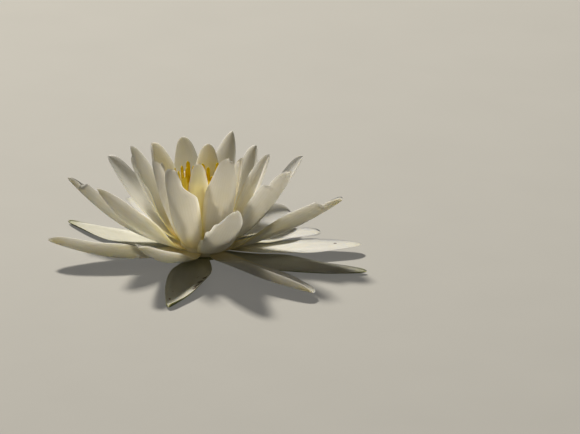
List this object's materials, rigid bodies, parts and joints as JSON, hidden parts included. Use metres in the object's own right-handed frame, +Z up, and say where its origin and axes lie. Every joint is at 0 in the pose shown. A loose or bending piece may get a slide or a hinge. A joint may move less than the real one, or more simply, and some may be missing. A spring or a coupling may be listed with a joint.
{
  "type": "water lily flower",
  "caption": "White water lily flower with spread sepals, boat-shaped petals in rising layers and a golden crown of stamens, resting on its cut underside.",
  "frame": {"origin": "centre of the cut face under the flower, on its axis", "axes": "+Z up along the flower's axis; +X to the right and -Y towards the viewer in the flower's usual view"},
  "size_m": [0.1172, 0.1078, 0.0446],
  "materials": {
    "sepal": "soft waxy green-white plant tissue",
    "petal": "thin translucent white petal with a soft waxy sheen",
    "stamen": "matt golden yellow, powdery towards the tip",
    "pistil": "moist yellow plant tissue"
  },
  "bodies": {
    "root": {"calyx": "sepal", "petals": "petal", "stamens": "stamen", "pistil": "pistil"}
  },
  "joints": []
}
